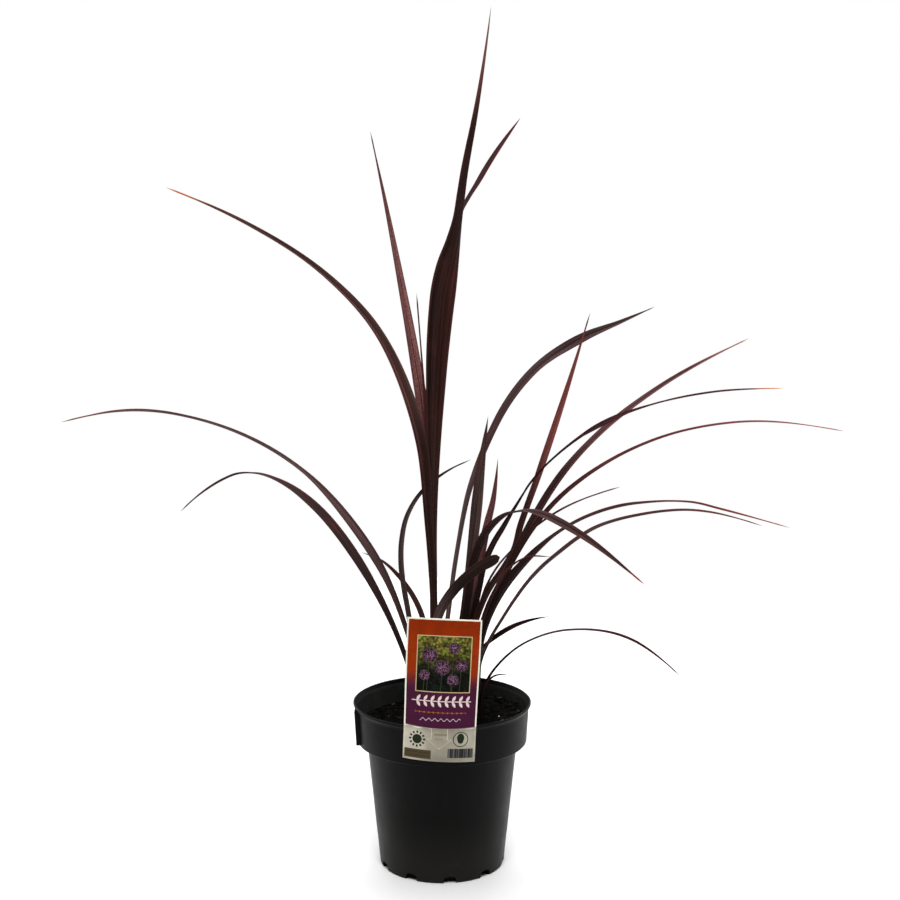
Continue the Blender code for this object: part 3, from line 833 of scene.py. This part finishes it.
def soil_finish():
    finish = Finish("potting_mix", specular=0.0)
    place = finish.place()
    crumbs = finish.noise(place, 700.0, 5.0, 0.7)
    patches = finish.noise(place, 90.0, 3.0)
    fibres = finish.cells(place, 520.0)
    body = finish.mix(patches.ramp(0.35, 0.65), (5, 5, 5), (11, 10, 9))
    body = finish.mix(crumbs.ramp(0.62, 0.85), body, (26, 22, 17))
    finish.coat(body, crumbs.ramp(0.3, 0.7, 0.8, 1.0))
    finish.bump(crumbs + fibres * 0.4, 0.5 * MM, 0.9)
    return finish


def chip_finish():
    finish = Finish("bark", specular=0.02)
    place = finish.place()
    grain = finish.noise(place, 900.0, 4.0, 0.6)
    body = finish.scaled(finish.stored("tint", "Color"), grain.ramp(0.25, 0.75, 0.65, 1.25))
    finish.coat(body, grain.ramp(0.3, 0.7, 0.65, 0.95))
    finish.bump(grain, 0.3 * MM, 0.8)
    return finish


def make_soil():
    """Crumbled top over the plug's own sides."""
    outline = meridian("potting_soil")
    top_edge = max(outline, key=lambda point: (round(point.x, 5), point.y))
    below = outline[:outline.index(top_edge) + 1]
    shares = [k / SOIL_RINGS for k in range(1, SOIL_RINGS + 1)]
    top = [Vector((top_edge.x * (1 - share), top_edge.y)) for share in shares]
    points, faces = turned(below + top, SOIL_SIDES)
    crown = outline[-1].y
    rim = top_edge.x
    for point in points:
        radius = math.hypot(point.x, point.y)
        if point.z >= top_edge.y - WELD:
            dome = (crown - top_edge.y) * ease((rim - radius) / (20 * MM))
            point.z += dome + soil_height(point.x, point.y) * ease((rim - radius) / (3 * MM) + 0.3)
    mesh = mesh_from("potting_mix_surface", points, faces, 80)
    show("potting_mix_surface", mesh, soil_finish(), "potting_mix", "potting_soil")
    make_chips(crown, rim)


def add_shard(points, faces, pick, base, size, flatness, length):
    """Add a jagged little body: a ball whose points are pushed in and out."""
    work = bmesh.new()
    bmesh.ops.create_icosphere(work, subdivisions=1, radius=1.0)
    turn = Matrix.Rotation(pick.uniform(0, math.tau), 3, "Z")
    turn = turn @ Matrix.Rotation(pick.uniform(-0.5, 0.5), 3, "X")
    first = len(points)
    for v in work.verts:
        rough = v.co * pick.uniform(0.65, 1.15)
        points.append(base + turn @ Vector((rough.x * length, rough.y, rough.z * flatness)) * size)
    faces += [tuple(first + v.index for v in face.verts) for face in work.faces]
    work.free()


def show_shards(name, points, faces, tints, smooth_below):
    mesh = mesh_from(name, points, faces, smooth_below)
    store(mesh, "tint", [value for tint in tints for value in tint], "FLOAT_COLOR", "color")
    show(name, mesh, chip_finish(), "potting_mix")


def make_chips(crown, rim):
    """Bark and fibre chips half sunk in the mix."""
    pick = random.Random(11)
    points = []
    faces = []
    tints = []
    darks = [colour(5, 5, 5), colour(9, 8, 7), colour(17, 14, 11), colour(10, 11, 10)]
    light = colour(52, 43, 29)
    while len(tints) < CHIP_COUNT * SHARD_POINTS:
        x = pick.uniform(-rim, rim)
        y = pick.uniform(-rim, rim)
        if math.hypot(x, y) > rim - 3 * MM:
            continue
        if any(math.hypot(x - sx * MM, y - sy * MM) < SHOOT_CLEARANCE for sx, sy in SHOOTS_MM):
            continue
        size = pick.uniform(0.7, 2.2) * MM
        base = Vector((x, y, crown - 0.5 * MM + soil_height(x, y) + size * 0.15))
        add_shard(points, faces, pick, base, size, pick.uniform(0.3, 0.7), pick.uniform(1.0, 2.4))
        tint = light if pick.random() < 0.025 else pick.choice(darks)
        tints += [tint] * SHARD_POINTS
    show_shards("bark_chips", points, faces, tints, 25)
    make_grains(crown, pick)


def make_grains(crown, pick):
    """A few pale grains on the mix."""
    points = []
    faces = []
    for x_mm, y_mm in GRAIN_PLACES_MM:
        x = x_mm * MM
        y = y_mm * MM
        size = pick.uniform(0.5, 0.9) * MM
        base = Vector((x, y, crown + soil_height(x, y) + size * 0.6))
        add_shard(points, faces, pick, base, size, 0.8, 1.1)
    show_shards("perlite_grains", points, faces, [colour(205, 200, 190)] * len(points), 60)


# Stems


def make_stems():
    """Each short stem, ringed by the scars of old leaves."""
    finish = Finish("stem")
    place = finish.place()
    _, _, z = finish.split(place)
    fibre = finish.noise(place, 700.0, 4.0)
    scars = (z * 1800.0).math("SINE")
    body = finish.mix(fibre.ramp(0.3, 0.7), (92, 62, 46), (140, 104, 78))
    finish.coat(finish.scaled(body, scars.ramp(-1.0, 1.0, 0.7, 1.05)), fibre.ramp(0.3, 0.7, 0.6, 0.85))
    finish.bump(fibre + scars * 0.4, 0.3 * MM, 0.8)
    for node in nodes_called("stem_"):
        low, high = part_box(node)
        middle = (low + high) / 2
        radius = (high.x - low.x) / 2
        outline = [Vector((0, low.z))]
        rings = 34
        for k in range(rings):
            share = k / (rings - 1)
            narrow = 1 - 0.05 * share - 0.6 * ease((share - 0.6) / 0.4)
            step = 1 - 0.06 * (k % 3 == 0)
            outline.append(Vector((radius * narrow * step, low.z + (high.z - low.z) * 0.98 * share)))
        outline.append(Vector((0, high.z)))
        points, faces = turned(outline, 32)
        points = [point + Vector((middle.x, middle.y, 0)) for point in points]
        mesh = mesh_from(node + "_ringed", points, faces, 60)
        show(node + "_ringed", mesh, finish, "stem", node)


# Card


def card_grid():
    """Rows of points on the front and the back of the card's solid, from its foot up."""
    work = welded("plant_label")
    points = sorted((v.co.copy() for v in work.verts), key=lambda p: p.z)
    work.free()
    in_row = 2 * (CARD_COLUMNS + 1)
    front = []
    back = []
    for j in range(CARD_ROWS + 1):
        row = sorted(points[j * in_row:(j + 1) * in_row], key=lambda p: p.x)
        pairs = [sorted(row[2 * i:2 * i + 2], key=lambda p: p.y) for i in range(CARD_COLUMNS + 1)]
        front.append([list(pair[0]) for pair in pairs])
        back.append([list(pair[1]) for pair in pairs])
    return np.array(front), np.array(back)


def card_surface(grid):
    """Finer smooth grid through a grid of points."""
    for coarse, fine in ((CARD_ROWS, FINE_ROWS), (CARD_COLUMNS, FINE_COLUMNS)):
        grid = smoothed(grid, np.arange(coarse + 1.0), np.linspace(0, coarse, fine + 1))
        grid = np.swapaxes(grid, 0, 1)
    return grid


class Print(Finish):
    """The card's finish, drawn on in millimetres from the card's lower left corner."""

    def __init__(self):
        super().__init__("printed_card", specular=0.05)
        across, up, _ = self.split(self.uv("card"))
        self.x = across * CARD_WIDTH_MM
        self.y = up * CARD_HEIGHT_MM
        self.flat = self.joined(self.x, self.y)
        self.mottle = self.noise(self.flat, 0.12, 4.0)
        from_middle = (self.x - PRINT_MIDDLE_MM) / PRINT_MIDDLE_MM
        self.fold = from_middle * from_middle * 1.5 + FOLD_MM

    def box(self, left, right, bottom, top):
        wide = self.band((left + right) / 2, (right - left) / 2)
        return wide * (abs(self.y - (bottom + top) / 2) < (top - bottom) / 2)

    def away(self, centre_x, centre_y):
        dx = self.x - centre_x
        dy = self.y - centre_y
        return (dx * dx + dy * dy).math("SQRT")

    def band(self, centre_x, half):
        return abs(self.x - centre_x) < half


def print_ground(sheet):
    """Orange above and purple below."""
    ground = sheet.mix(sheet.y.ramp(66.0, 88.0), (68, 22, 50), (148, 48, 2))
    ground = sheet.mix(sheet.y.ramp(104.0, 131.0, 0.0, 0.6), ground, (126, 34, 1))
    return sheet.scaled(ground, sheet.mottle.ramp(0.3, 0.7, 0.9, 1.08))


def print_foot(sheet):
    """Cream strip under the fold, darker towards its foot, with painted light on its left and right sides,
    painted shade just under the fold and a painted highlight along the crease at its top.
    """
    below = sheet.fold - sheet.y
    # Painted light: the left and right sides of the foot are lighter than its middle, where the card curves
    # round towards the light.
    foot = sheet.mix(sheet.x.ramp(8.0, 30.0), (193, 186, 170), CREAM_INK)
    foot = sheet.mix(sheet.x.ramp(44.0, 62.0), foot, (172, 168, 152))
    # Painted shade: darker just under the fold, where the card bends over the rim.
    foot = sheet.scaled(foot, below.ramp(0.5, 6.0, 0.8, 1.04))
    foot = sheet.scaled(foot, sheet.y.ramp(0.0, 14.0, 0.72, 1.0))
    foot = sheet.scaled(foot, sheet.mottle.ramp(0.3, 0.7, 0.9, 1.06))
    # Painted highlight: a pale line along the crease where the card bends over the rim, broken up by the
    # mottle.
    crease_highlight = (abs(below - 1.1) < 0.3) * (abs(sheet.x - 33.95) > 9.0)
    return sheet.mix(crease_highlight * sheet.mottle.ramp(0.35, 0.6), foot, WHITE_INK)


def print_picture(sheet):
    """Round purple flower heads on stalks before soft foliage."""
    x, y, flat = sheet.x, sheet.y, sheet.flat
    leaves = sheet.cells(flat, 0.42)
    leaf_tone = sheet.cells(flat, 0.42, "Color")
    foliage = sheet.mix(y.ramp(80.0, 114.0), (18, 20, 15), (120, 118, 52))
    foliage = sheet.scaled(foliage, leaves.ramp(0.1, 0.8, 1.5, 0.3))
    foliage = sheet.mix(0.25, foliage, leaf_tone, "OVERLAY")
    shade = sheet.noise(flat, 0.09, 3.0)
    picture = sheet.scaled(foliage, shade.ramp(0.4, 0.6, 0.45, 1.2))
    florets = sheet.cells(flat, 0.85)
    for centre_x, centre_y, radius in FLOWER_HEADS_MM:
        distance = sheet.away(centre_x, centre_y)
        stalk = (abs(x - centre_x - (y - centre_y) * 0.05) < 0.3) * (y < centre_y)
        picture = sheet.mix(stalk, picture, (52, 62, 32))
        bloom = sheet.mix(florets.ramp(0.1, 0.7), (150, 112, 134), (50, 24, 44))
        bloom = sheet.scaled(bloom, distance.ramp(0.0, radius, 1.2, 0.45))
        ragged = distance + florets * 1.6
        picture = sheet.mix(ragged < radius, picture, bloom)
    return picture


def print_ornaments(sheet, ink):
    """A sprig, a row of diamonds and a wavy ribbon."""
    x, y = sheet.x, sheet.y
    cell = ((x - 8.2) % 6.4) - 3.2
    height = abs(y - SPRIG_UP_MM)
    tilted = cell * 0.5 + height * 0.87
    broad = cell * 0.87 - height * 0.5
    lens = abs(broad) < ((tilted - 3.2) * (tilted - 3.2) * -0.13 + 1.3)
    stem = (height < 0.45) * sheet.band(33.8, 27.0)
    sprig = (lens * sheet.band(33.8, 25.5)).math("MAXIMUM", stem)
    ink = sheet.mix(sprig, ink, (226, 206, 202))
    height = abs(y - DIAMONDS_UP_MM)
    diamond = abs(((x - 33.4) % 4.2) - 2.1) + height < 1.15
    row = diamond.math("MAXIMUM", height < 0.22) * sheet.band(33.4, 23.1)
    ink = sheet.mix(row, ink, (150, 88, 26))
    swell = ((x * 1.15).math("SINE")) * 1.1
    ribbon = (abs(y - RIBBON_UP_MM - swell) < 0.34) * sheet.band(33.4, 18.5)
    return sheet.mix(ribbon, ink, (206, 188, 200))


def print_foot_marks(sheet, ink):
    """A sun, a drop in a ring, a brown box with two rules, a block of bars and faded strips."""
    green = (32, 42, 26)
    sun = sheet.away(*SUN_MM)
    angle = (sheet.y - SUN_MM[1]).math("ARCTAN2", sheet.x - SUN_MM[0])
    rays = ((angle * 12.0).math("COSINE") > 0.0) * (sun > 5.4) * (sun < 7.6)
    ink = sheet.mix(rays.math("MAXIMUM", sun < 4.4), ink, green)
    ring = abs(sheet.away(*RING_MM) - 6.7) < 0.4
    drop = sheet.away(*DROP_MM) - (sheet.y - DROP_MM[1]).math("MAXIMUM", 0.0) * 0.62
    ink = sheet.mix(ring.math("MAXIMUM", drop < 2.6), ink, green)
    ink = sheet.mix(sheet.box(*BROWN_BOX_MM), ink, (74, 64, 44))
    upper_rule, lower_rule = [sheet.box(*rule) for rule in RULES_MM]
    ink = sheet.mix(upper_rule.math("MAXIMUM", lower_rule) * 0.5, ink, (44, 36, 24))
    stripe = (sheet.x / 0.55).math("FLOOR")
    bar = sheet.add("TexWhiteNoise", settings={"noise_dimensions": "1D"}, W=stripe)
    bars = sheet.mix(bar.ramp(0.5, 1.0), (44, 43, 44), (112, 110, 104))
    ink = sheet.mix(sheet.box(*BARS_MM), ink, bars)
    upper_strip, lower_strip = [sheet.box(*strip) for strip in FADED_MM]
    faded = upper_strip.math("MAXIMUM", lower_strip * 0.6)
    return sheet.mix(faded * 0.6, ink, (112, 106, 72))


def card_finish():
    """Printed card: orange over purple, a garden picture, plain ornaments and a cream foot."""
    sheet = Print()
    foot = print_foot(sheet)
    ink = sheet.mix(sheet.y < sheet.fold, print_ground(sheet), foot)
    ink = sheet.mix(sheet.box(*FRAME_MM), ink, (196, 178, 132))
    ink = sheet.mix(sheet.box(*PICTURE_MM), ink, print_picture(sheet))
    ink = print_foot_marks(sheet, print_ornaments(sheet, ink))
    # The bare border under the fold takes the foot's colour, with its painted light and shade, a little
    # lighter.
    paper = sheet.mix(sheet.y < sheet.fold, WHITE_INK, sheet.scaled(foot, 1.12))
    face = sheet.mix(sheet.box(*PRINTED_MM), paper, ink)
    plain = sheet.stored("plain_white")
    sheet.coat(sheet.mix(plain, face, WHITE_INK), sheet.mottle.ramp(0.3, 0.7, 0.32, 0.44))
    sheet.bump(sheet.noise(sheet.flat, 0.5, 3.0), 0.15 * MM, 0.25)
    return sheet


def sheet_faces(columns, rows):
    """Faces of a closed card: a front grid, a back grid after it, and the rim between them."""
    row = columns + 1
    sheet = row * (rows + 1)
    faces = []
    for j in range(rows):
        for i in range(columns):
            a = j * row + i
            faces.append((a, a + 1, a + row + 1, a + row))
            faces.append((sheet + a, sheet + a + row, sheet + a + row + 1, sheet + a + 1))
    rim = list(range(row))
    rim += [j * row + columns for j in range(1, rows + 1)]
    rim += [rows * row + i for i in reversed(range(columns))]
    rim += [j * row for j in reversed(range(1, rows))]
    for here, after in zip(rim, rim[1:] + rim[:1]):
        faces.append((here, after, sheet + after, sheet + here))
    return faces


def label_card(mesh, shares):
    """Store each point's place on the card, and whether it is bare white there."""
    store_places(mesh, "card", [share[:2] for share in shares])
    store(mesh, "plain_white", [share[2] for share in shares])


def make_card():
    front, back = [card_surface(grid) for grid in card_grid()]
    points = [Vector(point) for sheet in (front, back) for row in sheet for point in row]
    shares = [
        (i / FINE_COLUMNS, j / FINE_ROWS, plain) for plain in (0.0, 1.0)
        for j in range(FINE_ROWS + 1) for i in range(FINE_COLUMNS + 1)]
    finish = card_finish()
    mesh = mesh_from("hang_card", points, sheet_faces(FINE_COLUMNS, FINE_ROWS), 40)
    label_card(mesh, shares)
    show("hang_card", mesh, finish, "printed_card", "plant_label")
    make_tongue(front, finish)


def on_card(front, x_mm, y_mm, lift):
    """Place on the card's front, lifted off it."""
    i = min(FINE_COLUMNS - 1e-6, max(0.0, x_mm / CARD_WIDTH_MM * FINE_COLUMNS))
    j = min(FINE_ROWS - 1e-6, max(0.0, y_mm / CARD_HEIGHT_MM * FINE_ROWS))
    column = int(i)
    row = int(j)
    u = i - column
    v = j - row
    low = front[row][column] * (1 - u) + front[row][column + 1] * u
    high = front[row + 1][column] * (1 - u) + front[row + 1][column + 1] * u
    across = Vector(front[row][column + 1] - front[row][column])
    up = Vector(front[row + 1][column] - front[row][column])
    return Vector(low * (1 - v) + high * v) + across.cross(up).normalized() * lift


def make_tongue(front, finish):
    """Arrow-shaped tongue, cut in the card and standing a little proud of it."""
    rows = []
    for k in range(TONGUE_SHAFT_ROWS):
        drop = (TONGUE_SHOULDER_MM - TONGUE_TOP_MM) * k / (TONGUE_SHAFT_ROWS - 1)
        rows.append((TONGUE_TOP_MM + drop, TONGUE_SHAFT_MM))
    for k in range(TONGUE_HEAD_ROWS):
        share = k / (TONGUE_HEAD_ROWS - 1)
        height = TONGUE_SHOULDER_MM - 0.1 + (TONGUE_TIP_MM - TONGUE_SHOULDER_MM) * share
        rows.append((height, max(0.3, TONGUE_HEAD_MM * (1 - share))))
    rows.reverse()
    raised = []
    under = []
    shares = []
    for j, (height, half) in enumerate(rows):
        inner = max(0.0, 1 - TONGUE_EDGE_MM / half)
        columns = (-1.0, -inner, -inner / 2, 0.0, inner / 2, inner, 1.0)
        lift = TONGUE_LIFT * ease((TONGUE_TOP_MM - height) / TONGUE_BEND_MM)
        for share in columns:
            x_mm = TONGUE_MIDDLE_MM + half * share
            rim = abs(share) == 1 or j == 0
            raised.append(on_card(front, x_mm, height, 0.06 * MM + lift))
            under.append(on_card(front, x_mm, height, -0.05 * MM))
            shares.append((x_mm / CARD_WIDTH_MM, height / CARD_HEIGHT_MM, float(rim)))
    faces = sheet_faces(len(columns) - 1, len(rows) - 1)
    mesh = mesh_from("card_tongue", raised + under, faces, 30)
    label_card(mesh, shares + shares)
    show("card_tongue", mesh, finish, "printed_card")


# Stage, light and camera


def make_stage():
    """Round pale floor, which ends where the white surround takes over."""
    steps = 96
    points = [Vector((0, 0, 0))] + circle(FLOOR_RADIUS, 0, steps)
    mesh = mesh_from("floor", points, [(0, 1 + k, 1 + (k + 1) % steps) for k in range(steps)], 30)
    floor = placed("floor", mesh)
    finish = Finish("floor", specular=0.1)
    grain = finish.noise(finish.place(), 3.0, 3.0)
    finish.coat(finish.mix(grain, (250, 250, 250), (246, 246, 246)), 0.9)
    mesh.materials.append(finish.material)


def make_world():
    """White surround whose light comes from above, behind and the sides, with a dark front."""
    world = bpy.data.worlds.new("studio")
    world.use_nodes = True
    tree = world.node_tree
    background = tree.nodes["Background"]
    direction = tree.nodes.new("ShaderNodeTexCoord")
    split = tree.nodes.new("ShaderNodeSeparateXYZ")
    tree.links.new(direction.outputs["Generated"], split.inputs[0])
    depth = Wire(split.outputs["Y"])
    height = Wire(split.outputs["Z"])
    around = depth.ramp(-0.35, 0.25, 0.02, 0.95)
    light = around.math("MAXIMUM", height.ramp(0.55, 0.95, 0.0, 0.9))
    seen = tree.nodes.new("ShaderNodeLightPath")
    strength = light.math("MAXIMUM", Wire(seen.outputs["Is Camera Ray"]))
    background.inputs["Color"].default_value = (1, 1, 1, 1)
    feed(background.inputs["Strength"], strength)
    bpy.context.scene.world = world
    bpy.context.scene.view_settings.view_transform = "Standard"


def add_softbox(name, place, target, side, watts):
    light = bpy.data.lights.new(name, "AREA")
    light.shape = "SQUARE"
    light.size = side
    light.energy = watts
    obj = placed(name, light)
    obj.location = place
    obj.rotation_euler = (target - place).to_track_quat("-Z", "Y").to_euler()


def make_lights():
    add_softbox("front_top_box", Vector((0.0, -1.3, 2.2)), Vector((0, 0, 0.3)), 0.9, 38)
    add_softbox("back_top_box", Vector((0.0, 1.1, 2.2)), Vector((0, 0.8, 0)), 1.6, 30)


def make_camera():
    camera = bpy.data.cameras.new("camera")
    camera.sensor_width = SENSOR_WIDTH_MM
    camera.lens = SENSOR_WIDTH_MM * FOCAL_LENGTH_PX / PHOTO_SIDE
    camera.shift_x = (PHOTO_SIDE / 2 - POT_AXIS_PX) / PHOTO_SIDE
    obj = placed("camera", camera)
    obj.location = CAMERA_PLACE
    obj.rotation_euler = (math.pi / 2 - CAMERA_LOOKS_DOWN, 0, 0)
    bpy.context.scene.camera = obj


make_camera()
make_pot()
make_soil()
make_stems()
make_card()
make_leaves()
make_stage()
make_world()
make_lights()
